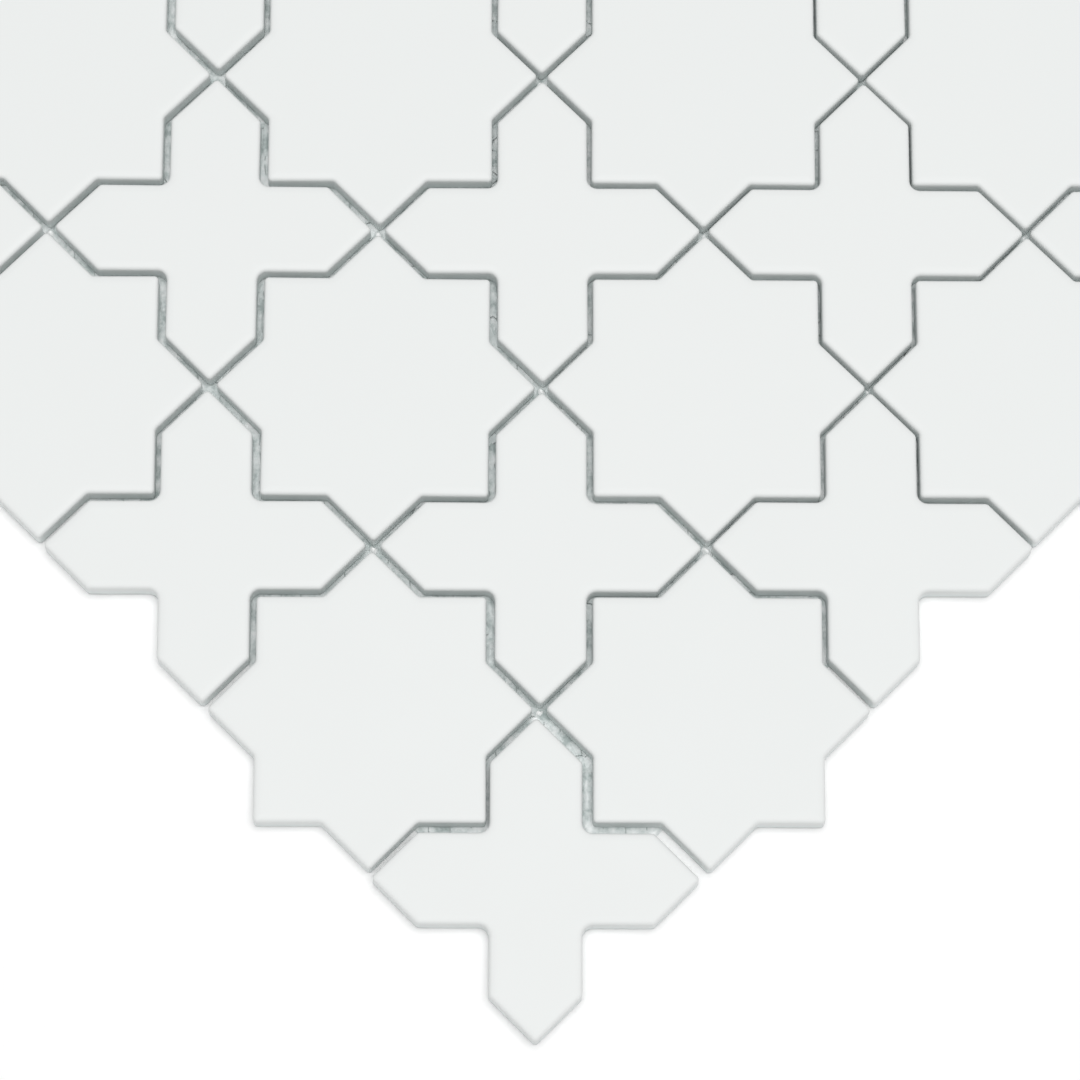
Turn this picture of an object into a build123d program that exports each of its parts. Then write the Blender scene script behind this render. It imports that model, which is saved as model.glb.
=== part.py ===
from build123d import *
import math
import os

# A mosaic sheet of star and cross chips, laid flat on its backing mesh.
# X and Y run along the sheet's edges and Z is up, all in millimetres.
# The origin is the middle of the sheet, on the underside of the mesh.

# The pattern
module = 50.0  # from one chip's middle to the next along a row
rows = 6  # an even count, so that the edge of one sheet keys into the next
columns = 6
joint_width = 1.1  # between the walls, below the eased edges

# The chips
chip_thickness = 5.5
glaze_edge = 0.7  # the eased edge round each face
face_cut = 0.15  # how far each point of the flat face is cut back along its sides
crook_radius = 2.2  # inside corner between two arms of a cross

# The backing mesh
mesh_thickness = 0.5
mesh_setback = 1.5  # from the crooks of the edge crosses back to the cut edge

# The hand laying
lay_drift = 0.4 * joint_width  # furthest that the chips drift off their places, along X or Y
lay_swing = 0.14 * joint_width  # furthest that their points swing when they are laid askew
corner_slip = 0.8 * joint_width  # how much farther out the first corner's cross lies

# Sizes that follow from the pattern
chip_side = module - joint_width
arm_width = module * (math.sqrt(2) - 1) - joint_width
point_reach = chip_side / math.sqrt(2)
crook_reach = arm_width / math.sqrt(2)
point_cut = (2 - math.sqrt(2)) * glaze_edge + face_cut
lay_turn = math.degrees(lay_swing / point_reach)


def reach(vertex):
    """Distance of a corner of an outline from the middle of its chip."""
    return math.hypot(vertex.X, vertex.Y)


def blunt(outline):
    """Takes the sharpness off the points, which lie farther out than any other corner."""
    points = [v for v in outline.vertices() if reach(v) > 0.95 * point_reach]
    return chamfer(points, point_cut)


def star_outline():
    """Two equal squares, one turned by an eighth of a turn, make the eight points."""
    square = Rectangle(chip_side, chip_side)
    return blunt(square + Rot(0, 0, 45) * square)


def cross_outline():
    """Two diagonal bars, cut to points by the square that the chip fills, with rounded crooks."""
    bar = Rectangle(2 * chip_side, arm_width)
    bars = Rot(0, 0, 45) * bar + Rot(0, 0, -45) * bar
    outline = blunt(bars & Rectangle(chip_side, chip_side))
    crooks = [v for v in outline.vertices() if reach(v) < 1.05 * crook_reach]
    return fillet(crooks, crook_radius)


def chip(outline):
    """Presses an outline to the chip's thickness and eases the edge of its face."""
    body = extrude(outline, chip_thickness)
    face = body.faces().sort_by(Axis.Z)[-1]
    return chamfer(face.edges(), glaze_edge)


def laid(body, row, column):
    """Puts a chip on the mesh at its row and column, a little off true.

    The soft mesh stretches unevenly, so the chips drift in slow waves across the sheet.
    """
    x = (column - (columns + 1) / 2) * module
    y = (row - (rows + 1) / 2) * module
    x += lay_drift * math.sin(0.2 * row - 1.2 * column - 1.5)
    y += lay_drift * math.sin(0.7 * row - 0.9 * column - 0.8)
    if row == column == 1:
        x -= corner_slip
    turn = lay_turn * math.sin(0.7 * row - 3.2 * column + 2.3)
    return Pos(x, y, mesh_thickness) * Rot(0, 0, turn) * body


def backing_mesh():
    """The square of mesh, cut inside the sheet so that none shows past the edge crosses."""
    overhang = 2 * (crook_reach - mesh_setback)
    width = (columns - 1) * module + overhang
    depth = (rows - 1) * module + overhang
    return extrude(Rectangle(width, depth), mesh_thickness)


def write(body, node):
    export_step(body, f"parts/{node}.step")


os.makedirs("parts", exist_ok=True)
cross = chip(cross_outline())
star = chip(star_outline())
for row in range(1, rows + 1):
    for column in range(1, columns + 1):
        if (row + column) % 2:
            write(laid(star, row, column), f"star_r{row}_c{column}")
        else:
            write(laid(cross, row, column), f"cross_r{row}_c{column}")
write(backing_mesh(), "backing_mesh")
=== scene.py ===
# A mosaic sheet of star and cross chips on its backing net, in metres, with Z up.
# The net lies on the floor at the height of zero, and the chips stand on the net.

import math

import bpy
import numpy as np
from mathutils import Matrix, Vector


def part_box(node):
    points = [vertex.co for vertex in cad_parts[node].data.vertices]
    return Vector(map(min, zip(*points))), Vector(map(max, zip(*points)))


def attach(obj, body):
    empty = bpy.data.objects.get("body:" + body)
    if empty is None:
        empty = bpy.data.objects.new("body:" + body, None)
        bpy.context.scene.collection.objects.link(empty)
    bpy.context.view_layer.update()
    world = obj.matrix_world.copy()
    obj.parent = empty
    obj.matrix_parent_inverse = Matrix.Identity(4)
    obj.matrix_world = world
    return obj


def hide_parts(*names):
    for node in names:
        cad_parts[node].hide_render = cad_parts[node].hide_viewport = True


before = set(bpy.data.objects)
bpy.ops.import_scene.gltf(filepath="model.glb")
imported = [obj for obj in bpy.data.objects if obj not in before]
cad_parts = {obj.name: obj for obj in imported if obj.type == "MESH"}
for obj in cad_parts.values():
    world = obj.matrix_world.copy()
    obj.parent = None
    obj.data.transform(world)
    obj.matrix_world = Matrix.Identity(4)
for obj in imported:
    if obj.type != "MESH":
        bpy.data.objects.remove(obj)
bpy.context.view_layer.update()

MM = 0.001
ROOT2 = math.sqrt(2)
FULL_TURN = 2 * math.pi

# The pattern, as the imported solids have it
MODULE = 50.0 * MM
ROWS = COLUMNS = 6
JOINT = 1.1 * MM
HALF_SIDE = (MODULE - JOINT) / 2
ARM = MODULE * (ROOT2 - 1) - JOINT
POINTS_ROUND = {"cross": 4, "star": 8}

# A chip's outline. Moved inwards, its outer corners get sharper and its crooks wider
POINT_RADIUS = 0.96 * MM
SHOULDER_RADIUS = 1.4 * MM
CROOK_RADIUS = 2.2 * MM
STAR_CROOK_RADIUS = 1.4 * MM
SHARPENING = 0.6
LEAST_RADIUS = 0.2 * MM
ARC_STEPS = 6
RUN_STEPS = 5

# The net. Flat wefts lie between an upper and a lower warp, which change sides between wefts
NET_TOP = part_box("backing_mesh")[1].z
NET_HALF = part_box("backing_mesh")[1].x
NET_PITCH = 4.6 * MM
STEPS_A_PITCH = 3
NET_STEP = NET_PITCH / STEPS_A_PITCH
WEFT_WIDTH = 0.55 * MM
WARP_WIDTH = 0.28 * MM
WARP_SPREAD = 0.22 * MM
YARN_THICKNESS = 0.14 * MM
YARN_SIDES = 5
YARN_DRIFT = 0.5 * MM
DRIFT_LENGTHS = np.array([31.0, 57.0, 94.0]) * MM
FRAY = 1.1 * MM

# The film of glue in the joints, with its heights above the floor
FILM_MARGIN = 0.5 * MM
FILM_STEP = 0.5 * MM
FILM_SNAP = 0.7 * FILM_STEP
FILM_REACH = 0.7 * MM
FILM_RISE = 0.5 * MM
FILM_CLOUD = 2.2 * MM
FILM_LIFT = 1.5
FILM_PATCHES = 0.5
FILM_LOW = NET_TOP - 0.3 * MM
FILM_RIM = NET_TOP - 0.2 * MM
FILM_THIN = NET_TOP - 0.12 * MM
FILM_COVER = 0.45 * MM
COVER_MEAN = 0.3
CLOUD_SHARE = 0.6
SWELL_FROM = 1.6 * MM
SWELL_REACH = 0.8 * MM
SWELL_RISE = 1.4 * MM
SWELL_MOST = 1.6

# The spots of glue under the chips, on a loose grid
SPOT_ROWS = 30
SPOT_PITCH = 9 * MM
SPOT_SHIFT = 3 * MM
SPOT_SHARE = 0.62
SPOT_MARGIN = 4 * MM
SPOT_RADII = (1.5 * MM, 3.0 * MM)
SPOT_SAGS = (0.15 * MM, 0.4 * MM)
SPOT_TOP = NET_TOP - 0.01 * MM
SPOT_DOME = 0.005 * MM
SPOT_SIDES = 16

# A chip's section: the draft of its wall, the roll of its edge and the long ease of its face
CHIP_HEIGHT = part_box("cross_r1_c1")[1].z - NET_TOP
DRAFT = 0.05 * MM
FOOT = 0.3 * MM
FOOT_BEND = (0.09 * MM, 0.07 * MM)
ROLL_WIDTH = 0.8 * MM
ROLL_HEIGHT = 0.95 * MM
EASE_WIDTH = 1.4 * MM
EASE_DROP = 0.17 * MM
BACK_INSET = 1.0 * MM
WALL_STEPS = ROLL_STEPS = 4
EASE_STEPS = 5

# The rings inside a chip's back and face, as shares of its outline, and the inset they go by
BACK_SHARES = np.array([0.35, 0.7])
FACE_SHARES = np.array([0.9, 0.7, 0.45, 0.2])
DEEP_INSET = 10 * MM

# How uneven the chips are
EDGE_WAVE = 0.05 * MM
EDGE_WAVE_DEPTH = 3 * MM
EDGE_WAVE_COUNTS = (3, 7, 12)
FACE_WAVE = 0.02 * MM
FACE_WAVE_RATES = ((1.3, 0.8), (-0.9, 1.7))
FACE_TILT = 0.05 * MM
FARTHEST_POINT = 0.7  # in modules from a chip's middle

# The glaze's lower edge, as heights over the net, and the painted highlight near a face's rim, in
# millimetres of inset
GLAZE_RUN = 1.6 * MM
GLAZE_FROM, GLAZE_FULL = 0.9 * MM, 1.3 * MM
THICK_FROM, THICK_FULL = 0.5 * MM, 0.95 * CHIP_HEIGHT
RIM_HIGHLIGHT_FROM, RIM_HIGHLIGHT_TO = 0.5, 2.2

# The mounds of glue, as heights over the net
MOUND_FROM, MOUND_FULL = 0.35 * MM, 0.9 * MM

# Colours, as linear red, green and blue
FACE_TONES = (0.820, 0.842, 0.834), (0.832, 0.850, 0.842)
# A painted highlight: the paler colour given to a face near its rim
RIM_HIGHLIGHT_TONE = (0.85, 0.865, 0.86)
WALL_TONE = (0.80, 0.848, 0.842)
BODY_TONES = (0.66, 0.70, 0.69), (0.77, 0.80, 0.79)
YARN_TONES = (0.40, 0.45, 0.44), (0.66, 0.70, 0.69)
CLOUDY_GLUE = (0.44, 0.50, 0.49)
MILKY_GLUE = (0.62, 0.665, 0.66)
GLUE_TONE = (0.70, 0.742, 0.736)
PALE_GLUE = (0.88, 0.89, 0.89)
MOUND_TONE = (0.92, 0.93, 0.925)
FLOOR_TONES = (0.94, 0.94, 0.94), (0.95, 0.95, 0.95)
WHITE = (1.0, 1.0, 1.0, 1.0)

random = np.random.default_rng(41)


class Wire:
    """A number that comes out of a shader node. Sums written with it add Math nodes."""

    def __init__(self, finish, socket):
        self.finish = finish
        self.socket = socket

    def sum(self, operation, first, second):
        return self.finish.node("ShaderNodeMath", {"operation": operation}, {0: first, 1: second})

    def __add__(self, other):
        return self.sum("ADD", self, other)

    def __sub__(self, other):
        return self.sum("SUBTRACT", self, other)

    def __mul__(self, other):
        return self.sum("MULTIPLY", self, other)

    def __rsub__(self, other):
        return self.sum("SUBTRACT", other, self)

    __rmul__ = __mul__


class Finish:
    """A material with one shader. Its node method makes every node."""

    def __init__(self, name):
        self.material = bpy.data.materials.new(name)
        self.material.use_nodes = True
        self.tree = self.material.node_tree
        self.shader = self.tree.nodes["Principled BSDF"]

    def node(self, kind, settings, sockets, output=0):
        """Adds a node: its settings first, then its sockets' values or links. Gives one output."""
        made = self.tree.nodes.new(kind)
        for name, value in settings.items():
            if name == "stops":
                self.set_stops(made.color_ramp, value)
            else:
                setattr(made, name, value)
        for key, value in sockets.items():
            self.feed(made.inputs[key], value)
        return Wire(self, made.outputs[output])

    def set_stops(self, ramp, stops):
        """Gives a ramp its stops. A new ramp has two, and more are added first."""
        for _ in range(len(stops) - 2):
            ramp.elements.new(0.5)
        for element, (place, colour) in zip(ramp.elements, stops):
            element.position = place
            element.color = (*colour, 1)

    def feed(self, socket, value):
        if isinstance(value, Wire):
            self.tree.links.new(value.socket, socket)
        else:
            socket.default_value = value

    def shade(self, **sockets):
        """Sets the shader's own sockets, named with _ for a space."""
        for name, value in sockets.items():
            self.feed(self.shader.inputs[name.replace("_", " ")], value)

    def place(self):
        """The point's place in the sheet's frame."""
        return self.node("ShaderNodeTexCoord", {}, {}, "Object")

    def attribute(self, name):
        return self.node("ShaderNodeAttribute", {"attribute_name": name}, {}, "Fac")

    def height(self):
        return self.node("ShaderNodeSeparateXYZ", {}, {0: self.place()}, "Z")

    def noise(self, where, scale, detail, roughness=0.5):
        sockets = {"Vector": where, "Scale": scale, "Detail": detail, "Roughness": roughness}
        return self.node("ShaderNodeTexNoise", {}, sockets)

    def ease(self, value, low, high):
        """0 below low, 1 above high, and a smooth step between them."""
        settings = {"interpolation_type": "SMOOTHSTEP"}
        sockets = {"Value": value, "From Min": low, "From Max": high}
        return self.node("ShaderNodeMapRange", settings, sockets)

    def mix(self, factor, first, second):
        """A colour between two, each a link or three numbers."""
        colours = [c if isinstance(c, Wire) else (*c, 1) for c in (first, second)]
        sockets = {"Factor": factor, 6: colours[0], 7: colours[1]}
        return self.node("ShaderNodeMix", {"data_type": "RGBA"}, sockets, 2)

    def bump(self, height, distance, strength):
        sockets = {"Height": height, "Distance": distance, "Strength": strength}
        return self.node("ShaderNodeBump", {}, sockets)


def glaze_finish():
    """Satin white glaze over a pale body.

    The glaze thins down the walls to an uneven edge, and the body shows on the foot and the
    back. A face carries a painted highlight: its colour is a little paler near its rim."""
    f = Finish("satin_white_glaze")
    where = f.place()
    cloud = f.noise(where, 60, 3)
    grain = f.noise(where, 1600, 2)
    drip = f.height() + (f.noise(where, 230, 2) - 0.5) * GLAZE_RUN
    glazed = f.ease(drip, NET_TOP + GLAZE_FROM, NET_TOP + GLAZE_FULL)
    thick = f.ease(drip, NET_TOP + THICK_FROM, NET_TOP + THICK_FULL)
    # Painted highlight: within about 2 mm of its rim, a face's colour is made paler
    rim_highlight = 1 - f.ease(f.attribute("inset"), RIM_HIGHLIGHT_FROM, RIM_HIGHLIGHT_TO)
    tone = cloud * 0.5 + f.attribute("tone") * 0.5
    face = f.mix(tone, *FACE_TONES)
    face = f.mix(rim_highlight * 0.25, face, RIM_HIGHLIGHT_TONE)
    face = f.mix(thick, WALL_TONE, face)
    body = f.mix(f.noise(where, 500, 4, 0.7), *BODY_TONES)
    f.shade(
        Base_Color=f.mix(glazed, body, face),
        Roughness=0.85 - glazed * (0.38 - 0.1 * cloud),
        Specular_IOR_Level=0.4,
        Normal=f.bump(grain * (1 - 0.85 * glazed) + cloud * 0.3, 0.05 * MM, 0.35),
    )
    return f.material


def yarn_finish():
    """Grey glass yarn: fine filaments twisted round it, and a patchy resin coat."""
    f = Finish("grey_glass_yarn")
    where = f.place()
    bands = {"Vector": f.node("ShaderNodeUVMap", {}, {}), "Scale": 2.2}
    twist = f.node("ShaderNodeTexWave", {"bands_direction": "DIAGONAL"}, bands)
    patch = f.noise(where, 180, 3, 0.6)
    f.shade(
        Base_Color=f.mix(twist * 0.35 + patch * 0.65, *YARN_TONES),
        Roughness=0.65 - patch * 0.25,
        Normal=f.bump(twist, 0.04 * MM, 0.8),
    )
    return f.material


def glue_finish(name, dark):
    """Dried net glue: patches from a dark colour to pale, paler on mounds, a little glossy."""
    f = Finish(name)
    where = f.place()
    cloud = f.noise(where, 300, 2) * 0.7 + f.noise(where, 1300, 2) * 0.3
    stops = [(0.36, dark), (0.5, GLUE_TONE), (0.66, PALE_GLUE)]
    patchy = f.node("ShaderNodeValToRGB", {"stops": stops}, {"Fac": cloud})
    mound = f.ease(f.height(), NET_TOP + MOUND_FROM, NET_TOP + MOUND_FULL)
    f.shade(
        Base_Color=f.mix(mound, patchy, MOUND_TONE),
        Roughness=0.55 - cloud * 0.3,
        Normal=f.bump(f.noise(where, 900, 3), 0.1 * MM, 0.6),
    )
    return f.material


def floor_finish():
    """Plain matt white, lit a little from below as a light table is."""
    f = Finish("white_floor")
    f.shade(
        Base_Color=f.mix(f.noise(f.place(), 2, 2), *FLOOR_TONES),
        Roughness=1.0,
        Specular_IOR_Level=0.0,
        Emission_Color=WHITE,
        Emission_Strength=0.065,
    )
    return f.material


def new_piece(name, points, faces, material, loop_uvs=None):
    """A smooth mesh from an array of points and a list of arrays of faces.

    Each array of faces has its own count of corners."""
    mesh = bpy.data.meshes.new(name)
    corners = np.concatenate([f.ravel() for f in faces]).astype(np.int32)
    sizes = np.concatenate([np.full(len(f), f.shape[1]) for f in faces]).astype(np.int32)
    starts = np.concatenate([[0], np.cumsum(sizes)[:-1]]).astype(np.int32)
    mesh.vertices.add(len(points))
    mesh.vertices.foreach_set("co", points.astype(np.float32).ravel())
    mesh.loops.add(len(corners))
    mesh.loops.foreach_set("vertex_index", corners)
    mesh.polygons.add(len(sizes))
    mesh.polygons.foreach_set("loop_start", starts)
    mesh.polygons.foreach_set("use_smooth", np.ones(len(sizes), bool))
    if loop_uvs is not None:
        layer = mesh.uv_layers.new(name="UVMap")
        layer.data.foreach_set("uv", loop_uvs.astype(np.float32).ravel())
    mesh.update(calc_edges=True)
    mesh.validate()
    mesh.materials.append(material)
    piece = bpy.data.objects.new(name, mesh)
    bpy.context.scene.collection.objects.link(piece)
    return piece


def set_attribute(piece, name, values):
    """Stores one number a point, for the piece's finish to read."""
    attribute = piece.data.attributes.new(name, "FLOAT", "POINT")
    attribute.data.foreach_set("value", values.astype(np.float32))


def turned(points, angle):
    """Points turned about the origin by an angle, or by an angle each."""
    c, s = np.cos(angle), np.sin(angle)
    x, y = points[..., 0], points[..., 1]
    return np.stack([c * x - s * y, s * x + c * y], -1)


def cross_corners(inset):
    """A cross's corners and their radii, moved inwards by an inset.

    The cross is two diagonal bars of half the arm's width either side, cut off by the square
    that it fills. A crook lies on an axis at the half width times root 2, a shoulder where the
    bar leaves the square and a point at the square's corner. Each quarter turn repeats them."""
    half = HALF_SIDE - inset
    crook = (ARM / 2 - inset) * ROOT2
    quarter = np.array([(crook, 0), (half, half - crook), (half, half), (half - crook, half)])
    outer = np.array([SHOULDER_RADIUS, POINT_RADIUS, SHOULDER_RADIUS])
    outer = np.maximum(outer - SHARPENING * inset, LEAST_RADIUS)
    corners = np.concatenate([turned(quarter, k * math.pi / 2) for k in range(4)])
    return corners, np.tile(np.concatenate([[CROOK_RADIUS + inset], outer]), 4)


def star_corners(inset):
    """A star's corners and their radii, moved inwards by an inset.

    The star is two equal squares, one turned by an eighth. A point lies at half the side times
    root 2, and a crook where the two squares' sides cross. Each eighth turn repeats them."""
    half = HALF_SIDE - inset
    eighth = np.array([(half * ROOT2, 0), (half, half * (ROOT2 - 1))])
    point = max(POINT_RADIUS - SHARPENING * inset, LEAST_RADIUS)
    corners = np.concatenate([turned(eighth, k * math.pi / 4) for k in range(8)])
    return corners, np.tile([point, STAR_CROOK_RADIUS + inset], 8)


def rounded(corners, radii):
    """Points round a polygon with arcs for corners.

    An arc of radius r touches its two sides at r * tan(turn / 2) from the corner and is stepped
    evenly about its centre, and the straight run to the next arc is cut into equal steps."""
    before = corners - np.roll(corners, 1, axis=0)
    before /= np.linalg.norm(before, axis=1, keepdims=True)
    after = np.roll(before, -1, axis=0)
    crossed = before[:, 0] * after[:, 1] - before[:, 1] * after[:, 0]
    turn = np.arctan2(crossed, (before * after).sum(1))
    start = corners - before * (radii * np.tan(np.abs(turn) / 2))[:, None]
    left = np.stack([-before[:, 1], before[:, 0]], 1)
    centre = start + left * (radii * np.sign(turn))[:, None]
    angles = turn[:, None] * np.linspace(0, 1, ARC_STEPS + 1)
    arc = centre[:, None] + turned((start - centre)[:, None], angles)
    share = np.linspace(0, 1, RUN_STEPS + 1)[1:-1, None]
    run = arc[:, -1:] * (1 - share) + np.roll(arc[:, :1], -1, axis=0) * share
    return np.concatenate([arc, run], axis=1).reshape(-1, 2)


def chip_section():
    """A chip's half section from its back to its face, as insets and heights.

    The foot is eased, the wall leans in by the draft, the roll is a quarter of an ellipse that
    stops where its slope meets the ease's, and the ease is a parabola that ends level with the
    face."""
    foot = np.array([(BACK_INSET, 0), (FOOT, 0), FOOT_BEND, (0, FOOT)])
    slope = 2 * EASE_DROP / EASE_WIDTH
    stop = math.atan(ROLL_HEIGHT / ROLL_WIDTH / slope)
    roll_base = CHIP_HEIGHT - EASE_DROP - ROLL_HEIGHT * math.sin(stop)
    up = np.linspace(1 / WALL_STEPS, 1, WALL_STEPS)
    wall = np.stack([DRAFT * up, FOOT + (roll_base - FOOT) * up], 1)
    swing = stop * np.linspace(1 / ROLL_STEPS, 1, ROLL_STEPS)
    roll_insets = DRAFT + ROLL_WIDTH * (1 - np.cos(swing))
    roll = np.stack([roll_insets, roll_base + ROLL_HEIGHT * np.sin(swing)], 1)
    share = np.linspace(1 / EASE_STEPS, 1, EASE_STEPS)
    ease_insets = roll[-1, 0] + EASE_WIDTH * share
    ease = np.stack([ease_insets, CHIP_HEIGHT - EASE_DROP * (1 - share) ** 2], 1)
    return np.concatenate([foot, wall, roll, ease])


def chip_rings(corners_at):
    """Every ring of a chip, from the middle of its back, up its wall, to the middle of its face.

    A ring of the section is the rounded outline at that ring's inset, and the rings inside the
    first and the last are those shrunk towards the middle. Gives the points, ring by ring, and
    the inset of each ring."""
    section = chip_section()
    rims = np.stack([rounded(*corners_at(inset)) for inset in section[:, 0]])
    back = rims[0] * BACK_SHARES[:, None, None]
    face = rims[-1] * FACE_SHARES[:, None, None]
    flat = np.concatenate([back, rims, face])
    heights = [np.zeros(len(back)), section[:, 1], np.full(len(face), CHIP_HEIGHT)]
    heights = np.broadcast_to(np.concatenate(heights)[:, None, None], flat.shape[:2] + (1,))
    insets = [np.full(len(back), DEEP_INSET), section[:, 0], np.full(len(face), DEEP_INSET)]
    return np.concatenate([flat, heights], 2), np.concatenate(insets)


def ring_faces(rings, count):
    """Quads between rings of points, and a fan at each end to one more point.

    The two ends' points come after all the rings."""
    i = np.arange(rings - 1)[:, None]
    j = np.arange(count)[None, :]
    k = (j + 1) % count
    corners = [i * count + j, i * count + k, (i + 1) * count + k, (i + 1) * count + j]
    quads = np.stack(corners, -1).reshape(-1, 4)
    low, high = rings * count, rings * count + 1
    j, k = j[0], k[0]
    last = (rings - 1) * count
    fans = np.concatenate([
        np.stack([k, j, np.full(count, low)], 1),
        np.stack([last + j, last + k, np.full(count, high)], 1),
    ])
    return [quads, fans]


def chips():
    """Every chip's kind and node, row by row."""
    for row in range(1, ROWS + 1):
        for column in range(1, COLUMNS + 1):
            kind = "star" if (row + column) % 2 else "cross"
            yield kind, f"{kind}_r{row}_c{column}"


def place_of(kind, node):
    """A chip's middle and turn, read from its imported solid.

    The middle is that of its box. The turn is the mean direction of its farthest corners, all
    within 0.05 percent of the farthest, folded by the count of points round the chip."""
    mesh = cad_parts[node].data
    points = np.empty(len(mesh.vertices) * 3)
    mesh.vertices.foreach_get("co", points)
    flat = np.unique(points.reshape(-1, 3)[:, :2].round(7), axis=0)
    middle = (flat.min(0) + flat.max(0)) / 2
    spoke = flat - middle
    reach = np.hypot(*spoke.T)
    far = spoke[reach > 0.9995 * reach.max()]
    count = POINTS_ROUND[kind]
    folded = np.exp(1j * count * (np.arctan2(far[:, 1], far[:, 0]) - math.pi / 4)).mean()
    return middle, np.angle(folded) / count


def lay_chip(kind, node, rings, insets, material):
    """A chip in its place, a little uneven.

    Its outline waves in and out by three slow sines of the way round, less towards the middle.
    Its face dips by two slow sines across it and by a small tilt, and never rises."""
    middle, turn = place_of(kind, node)
    count = rings.shape[1]
    # Five of the eight phases are used. All are drawn, so that later draws stay the same
    phase = random.uniform(0, FULL_TURN, 8)
    lean = random.uniform(0, FULL_TURN)
    way = np.linspace(0, FULL_TURN, count, endpoint=False)
    wave = sum(np.sin(n * way + p) for n, p in zip(EDGE_WAVE_COUNTS, phase)) / 3
    flat = rings[..., :2]
    hold = np.clip(1 - insets / EDGE_WAVE_DEPTH, 0, 1)[:, None]
    reach = np.linalg.norm(flat, axis=2)
    flat = flat * (1 + EDGE_WAVE * (wave - 1) / 2 * hold / reach)[..., None]
    x, y = flat[..., 0] / MODULE * FULL_TURN, flat[..., 1] / MODULE * FULL_TURN
    dip = sum(np.sin(a * x + b * y + p) for (a, b), p in zip(FACE_WAVE_RATES, phase[4:6]))
    dip = (dip - 2) / 4 * FACE_WAVE
    slope = (np.cos(lean) * flat[..., 0] + np.sin(lean) * flat[..., 1]) / MODULE - FARTHEST_POINT
    raised = rings[..., 2] / CHIP_HEIGHT
    height = rings[..., 2] + (dip + FACE_TILT * slope) * raised
    points = np.concatenate([turned(flat, turn) + middle, (height + NET_TOP)[..., None]], 2)
    ends = points[[0, -1]].mean(1)
    points = np.concatenate([points.reshape(-1, 3), ends])
    piece = new_piece(f"glazed_{node}", points, ring_faces(len(rings), count), material)
    deep = [DEEP_INSET, DEEP_INSET]
    set_attribute(piece, "inset", np.concatenate([np.repeat(insets, count), deep]) / MM)
    set_attribute(piece, "tone", np.full(len(points), random.uniform()))
    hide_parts(node)
    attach(piece, "root")


def slow_wobble(lines, along, size):
    """A small sideways drift for each line of the net.

    It is the mean of three sines along the line, with phases and pulls of its own."""
    phase = random.uniform(0, FULL_TURN, (3, lines))
    pull = random.uniform(0.3, 1, (3, lines))
    angle = FULL_TURN * along / DRIFT_LENGTHS[:, None, None] + phase[..., None]
    return size * (pull[..., None] * np.sin(angle)).sum(0) / 3


def yarns(name, direction, width, lines, steps, side, lift, material):
    """One set of the net's yarns, all in one direction, cut off inside the net's square.

    A yarn's middle is its line's place plus a sideways path, and its section is an ellipse. Its
    ends are left where the square's edge cuts it, a little frayed in length."""
    across = np.array([-direction[1], direction[0]])
    t = steps * NET_STEP
    middle = t[None, :, None] * direction + (lines[:, None] * NET_PITCH + side)[..., None] * across
    short = random.uniform(0, FRAY, (len(lines), 2))
    cut = np.where(t[None, :] < 0, short[:, :1], short[:, 1:])
    kept = np.abs(middle).max(-1) < NET_HALF - width - cut
    around = np.linspace(0, FULL_TURN, YARN_SIDES, endpoint=False)
    ring = np.stack([across[0] * np.cos(around), across[1] * np.cos(around)], 1) * width / 2
    points = np.empty(kept.shape + (YARN_SIDES, 3))
    points[..., :2] = middle[:, :, None, :] + ring
    points[..., 2] = lift + np.sin(around) * YARN_THICKNESS / 2
    index = np.cumsum(kept.ravel()).reshape(kept.shape) - 1
    both = kept[:, :-1] & kept[:, 1:]
    s = np.arange(YARN_SIDES)
    n = (s + 1) % YARN_SIDES
    a = index[:, :-1][both][:, None] * YARN_SIDES
    quads = np.stack([a + s, a + YARN_SIDES + s, a + YARN_SIDES + n, a + n], -1).reshape(-1, 4)
    starts = kept & ~np.pad(kept, ((0, 0), (1, 0)))[:, :-1]
    stops = kept & ~np.pad(kept, ((0, 0), (0, 1)))[:, 1:]
    caps = np.concatenate([
        index[starts][:, None] * YARN_SIDES + s,
        index[stops][:, None] * YARN_SIDES + s[::-1],
    ])
    far = np.broadcast_to(t, kept.shape)[:, :-1][both] / MM
    u = far[:, None, None] + np.array([0, 1, 1, 0]) * NET_STEP / MM
    v = np.stack([s, s, s + 1, s + 1], -1) / YARN_SIDES
    loop_uvs = np.stack(np.broadcast_arrays(u, v[None]), -1)
    loop_uvs = np.concatenate([loop_uvs.reshape(-1, 2), np.zeros((caps.size, 2))])
    piece = new_piece(name, points[kept].reshape(-1, 3), [quads, caps], material, loop_uvs)
    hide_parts("backing_mesh")
    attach(piece, "root")


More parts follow.
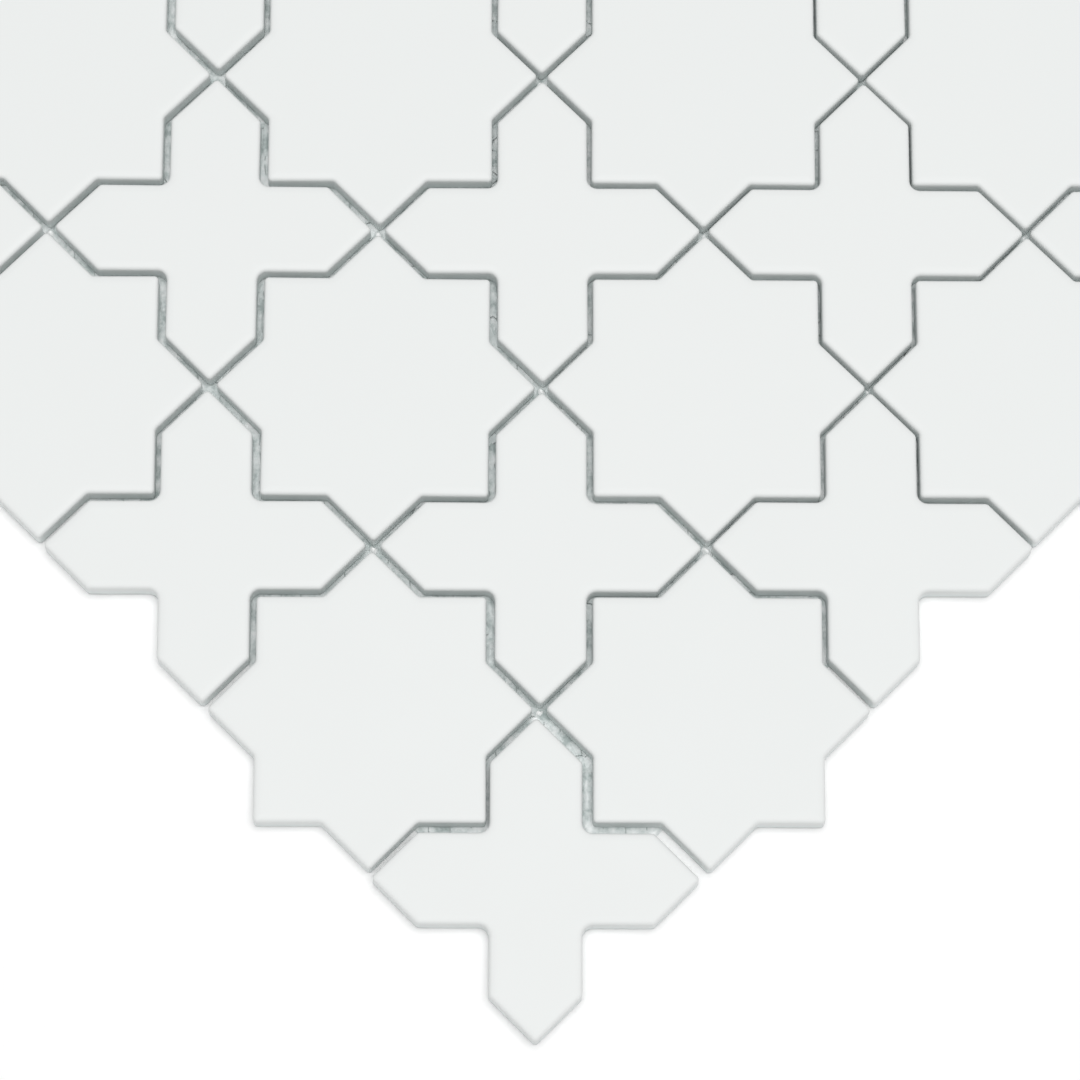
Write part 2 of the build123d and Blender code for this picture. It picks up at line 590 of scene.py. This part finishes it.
def glue_spots(name, middles, radii, sag, material):
    """Spots of dried glue: a closed lens each, with an uneven round outline.

    The radius at each angle is the spot's own times one plus two small sines. At the share s of
    the radius, the lens hangs below its rim by the sag times 1 - s squared, and rises above it
    by the dome times the same."""
    around = np.linspace(0, FULL_TURN, SPOT_SIDES, endpoint=False)
    phase = random.uniform(0, FULL_TURN, (2, len(middles), 1))
    uneven = 1 + 0.22 * np.sin(2 * around + phase[0]) + 0.12 * np.sin(5 * around + phase[1])
    shares = np.array([0.35, 0.65, 0.88, 1.0, 0.8, 0.5, 0.25])
    below = np.array([1, 1, 1, 0, 0, 0, 0])
    full = (1 - shares ** 2)[:, None]
    bulge = np.where(below[:, None], -full * sag[:, None, None], full * SPOT_DOME)
    reach = shares[:, None] * (radii[:, None] * uneven)[:, None, :]
    ring = np.stack([np.cos(around), np.sin(around)], 1)
    points = np.empty((len(middles), len(shares), SPOT_SIDES, 3))
    points[..., :2] = middles[:, None, None] + reach[..., None] * ring
    points[..., 2] = SPOT_TOP + bulge
    count = len(shares) * SPOT_SIDES
    peaks = np.full(len(middles), SPOT_TOP + SPOT_DOME)
    ends = [np.column_stack([middles, SPOT_TOP - sag]), np.column_stack([middles, peaks])]
    points = np.concatenate([points.reshape(len(middles), count, 3), np.stack(ends, 1)], 1)
    shift = np.arange(len(middles))[:, None, None] * (count + 2)
    lens = ring_faces(len(shares), SPOT_SIDES)
    faces = [(f[None] + shift).reshape(-1, f.shape[1]) for f in lens]
    piece = new_piece(name, points.reshape(-1, 3), faces, material)
    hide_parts("backing_mesh")
    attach(piece, "root")


def clearances(x, y):
    """How far points lie outside the nearest laid chip and outside the third nearest.

    Less than zero is inside. Outside a cross is outside both diagonal bars or outside the
    square, and outside a star is outside both squares. Outside a square of half side h is the
    larger of the two lengths from its middle, less h. In a cross's crook of radius r, at a and b
    outside the two bars, it is r less the root of the sum of the squares of r - a and r - b."""
    outside = []
    for kind, node in chips():
        middle, turn = place_of(kind, node)
        near = turned(np.stack([x - middle[0], y - middle[1]], -1), -turn)
        u, v = near[..., 0], near[..., 1]
        square = np.maximum(abs(u), abs(v)) - HALF_SIDE
        slant, tilt = abs(u + v) / ROOT2, abs(u - v) / ROOT2
        if kind == "star":
            outside.append(np.minimum(square, np.maximum(slant, tilt) - HALF_SIDE))
        else:
            left = np.maximum(CROOK_RADIUS + ARM / 2 - np.stack([slant, tilt]), 0)
            outside.append(np.maximum(CROOK_RADIUS - np.hypot(*left), square))
    ordered = np.partition(np.stack(outside), 2, axis=0)
    return ordered[0], ordered[2]


def cloudy(shape, step, size):
    """A smooth random field on a grid.

    It is white noise with each of its waves weighted by exp(-(size / length) ** 2)."""
    waves = np.fft.rfft2(random.standard_normal(shape))
    rate = np.hypot(np.fft.fftfreq(shape[0], step)[:, None], np.fft.rfftfreq(shape[1], step)[None])
    field = np.fft.irfft2(waves * np.exp(-(rate * size) ** 2), shape)
    return field / field.std()


def grid_quads(index, kept):
    """The quads of the kept cells of a grid, from an array of its points' indices."""
    corners = index[:-1, :-1], index[:-1, 1:], index[1:, 1:], index[1:, :-1]
    return np.stack([corner[kept] for corner in corners], 1)


def glue_film(name, material):
    """One thin film of glue in and over the net in the joints.

    Its fullness over a square grid is a lift plus a cloudy field, less the square of how far a
    point lies under a chip. The film ends where that is zero: grid points just past the end are
    moved to it down the field's slope, and there the film's top and underside meet. Its top
    rises from the chips' walls to the middle, over the yarns in some places and not in others,
    and swells to a mound where four chips meet."""
    count = int(2 * (NET_HALF - FILM_MARGIN) / FILM_STEP)
    line = (np.arange(count) - (count - 1) / 2) * FILM_STEP
    x, y = np.meshgrid(line, line)
    clear, third = clearances(x, y)
    under = np.maximum(-clear, 0) / FILM_REACH
    cloud = np.clip(cloudy(x.shape, FILM_STEP, FILM_CLOUD), -2, 2)
    field = FILM_LIFT + FILM_PATCHES * cloud - under ** 2
    field[[0, -1]] = field[:, [0, -1]] = -1.0
    inside = field > 0

    slope_y, slope_x = np.gradient(field, FILM_STEP)
    steep = np.hypot(slope_x, slope_y) + 1e-9
    move = np.where(inside, 0, np.minimum(-field / steep, FILM_SNAP)) / steep
    spread = np.stack([x + move * slope_x, y + move * slope_y], -1)

    full = np.clip(field, 0, 1)
    rise = np.clip(clear / FILM_RISE, 0, 1)
    crossing = np.clip((SWELL_FROM - third) / SWELL_REACH, 0, 1)
    swell = crossing * np.clip(1 + CLOUD_SHARE * cloud, 0, SWELL_MOST)
    cover = np.clip(COVER_MEAN + CLOUD_SHARE * cloud, 0, 1)
    top = FILM_THIN + full * rise * (cover * FILM_COVER + swell * SWELL_RISE)
    top = np.where(inside, top, FILM_RIM)

    kept = inside[:-1, :-1] | inside[:-1, 1:] | inside[1:, 1:] | inside[1:, :-1]
    used = np.zeros(x.shape, bool)
    for a, b in ((0, 0), (0, 1), (1, 1), (1, 0)):
        used[a:count - 1 + a, b:count - 1 + b] |= kept
    upper = np.cumsum(used).reshape(x.shape) - 1
    lower = np.where(inside, used.sum() + np.cumsum(inside).reshape(x.shape) - 1, upper)
    points = np.concatenate([
        np.column_stack([spread[used], top[used]]),
        np.column_stack([spread[inside], np.full(inside.sum(), FILM_LOW)]),
    ])
    faces = [grid_quads(upper, kept), grid_quads(lower, kept)[:, ::-1]]
    piece = new_piece(name, points, faces, material)

    edges = np.empty(2 * len(piece.data.edges), np.int32)
    piece.data.edges.foreach_get("vertices", edges)
    at_rim = np.concatenate([~inside[used], np.zeros(inside.sum(), bool)])
    sharp = piece.data.attributes.new("sharp_edge", "BOOLEAN", "EDGE")
    sharp.data.foreach_set("value", at_rim[edges.reshape(-1, 2)].all(1))
    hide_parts("backing_mesh")
    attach(piece, "root")


def make_chips():
    """Every chip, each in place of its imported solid."""
    material = glaze_finish()
    made = {"cross": chip_rings(cross_corners), "star": chip_rings(star_corners)}
    for kind, node in chips():
        lay_chip(kind, node, *made[kind], material)


def make_net():
    """The open net: one flat weft and two thin warps to each pitch.

    Its yarns run in line with the arms of the crosses. The two warps of a pair stand apart by
    the spread times the cosine of half a turn a pitch."""
    material = yarn_finish()
    weft_way = np.array([1, -1]) / ROOT2
    warp_way = np.array([1, 1]) / ROOT2
    middle = NET_TOP / 2
    most = int(NET_HALF * ROOT2 / NET_PITCH)
    lines = np.arange(-most, most + 1)
    steps = np.arange(-STEPS_A_PITCH * (most + 1), STEPS_A_PITCH * (most + 1) + 1)
    drift = slow_wobble(len(lines), steps * NET_STEP, YARN_DRIFT)
    yarns("net_weft", weft_way, WEFT_WIDTH, lines, steps, drift, middle, material)
    drift = slow_wobble(len(lines), np.zeros(1), YARN_DRIFT)
    spread = WARP_SPREAD * np.cos(math.pi * steps / STEPS_A_PITCH)
    for name, sign in (("net_warp_upper", 1), ("net_warp_lower", -1)):
        side = drift + sign * spread
        lift = middle + sign * YARN_THICKNESS
        yarns(name, warp_way, WARP_WIDTH, lines, steps, side, lift, material)


def make_glue():
    """Glue spots under the chips on a loose grid, and a film over the net in the joints."""
    places = (np.arange(SPOT_ROWS) - (SPOT_ROWS - 1) / 2) * SPOT_PITCH
    grid = np.stack(np.meshgrid(places, places), -1).reshape(-1, 2)
    grid = grid + random.uniform(-SPOT_SHIFT, SPOT_SHIFT, grid.shape)
    grid = grid[random.uniform(0, 1, len(grid)) < SPOT_SHARE]
    grid = grid[np.abs(grid).max(1) < NET_HALF - SPOT_MARGIN]
    radii = random.uniform(*SPOT_RADII, len(grid))
    sag = random.uniform(*SPOT_SAGS, len(grid))
    milky = glue_finish("milky_net_glue", MILKY_GLUE)
    glue_spots("glue_under_chips", grid, radii, sag, milky)
    glue_film("glue_in_joints", glue_finish("cloudy_net_glue", CLOUDY_GLUE))


def make_floor():
    """One wide flat face under the sheet."""
    reach = 4.0
    corners = [(-reach, -reach, 0), (reach, -reach, 0), (reach, reach, 0), (-reach, reach, 0)]
    points = np.array(corners, float)
    new_piece("studio_floor", points, [np.array([[0, 1, 2, 3]])], floor_finish())


def make_camera():
    """The photograph's view, from its turn, height, roll and distance.

    The away direction points from the target to the eye, right lies level, up is away cross
    right, and the roll turns right and up about away."""
    turn, rise, roll = np.radians([-48.44, 75.36, 3.66])
    distance = 930.56 * MM
    target = np.array([-74.17, -74.42, 6.5]) * MM
    focal_pixels = 4374.0
    image_pixels = 1080.0
    sensor = 36.0
    flat = math.cos(rise)
    away = np.array([math.sin(turn) * flat, -math.cos(turn) * flat, math.sin(rise)])
    level = np.array([math.cos(turn), math.sin(turn), 0.0])
    over = np.cross(away, level)
    right = math.cos(roll) * level + math.sin(roll) * over
    up = math.cos(roll) * over - math.sin(roll) * level
    data = bpy.data.cameras.new("camera")
    data.sensor_width = sensor
    data.lens = sensor * focal_pixels / image_pixels
    data.clip_start, data.clip_end = 0.01, 50
    camera = bpy.data.objects.new("camera", data)
    bpy.context.scene.collection.objects.link(camera)
    pose = Matrix(np.column_stack([right, up, away]).tolist()).to_4x4()
    pose.translation = Vector(target + distance * away)
    camera.matrix_world = pose
    bpy.context.scene.camera = camera


def make_light():
    """A dim, pale room, and one wide soft box nearly overhead.

    The box stands a little nearer the eye than the sheet, and to the right. Its steps there run
    along the floor, towards the eye and to the eye's right."""
    world = bpy.data.worlds.new("pale_room")
    world.use_nodes = True
    background = world.node_tree.nodes["Background"]
    background.inputs["Color"].default_value = WHITE
    background.inputs["Strength"].default_value = 0.3
    bpy.context.scene.world = world
    lamp = bpy.data.lights.new("soft_box", "AREA")
    lamp.shape = "SQUARE"
    lamp.size = 3.83
    lamp.energy = 206.0
    holder = bpy.data.objects.new("soft_box", lamp)
    bpy.context.scene.collection.objects.link(holder)
    centre = Vector((-0.05, -0.05, 0))
    nearer = Vector((-0.748, -0.663, 0)) * 0.125
    right = Vector((0.663, -0.748, 0)) * 0.25
    height = Vector((0, 0, 5.0))
    holder.location = centre + nearer + right + height
    holder.rotation_euler = (holder.location - centre).to_track_quat("Z", "Y").to_euler()
    bpy.context.scene.view_settings.view_transform = "Standard"


make_camera()
make_light()
make_floor()
make_chips()
make_net()
make_glue()
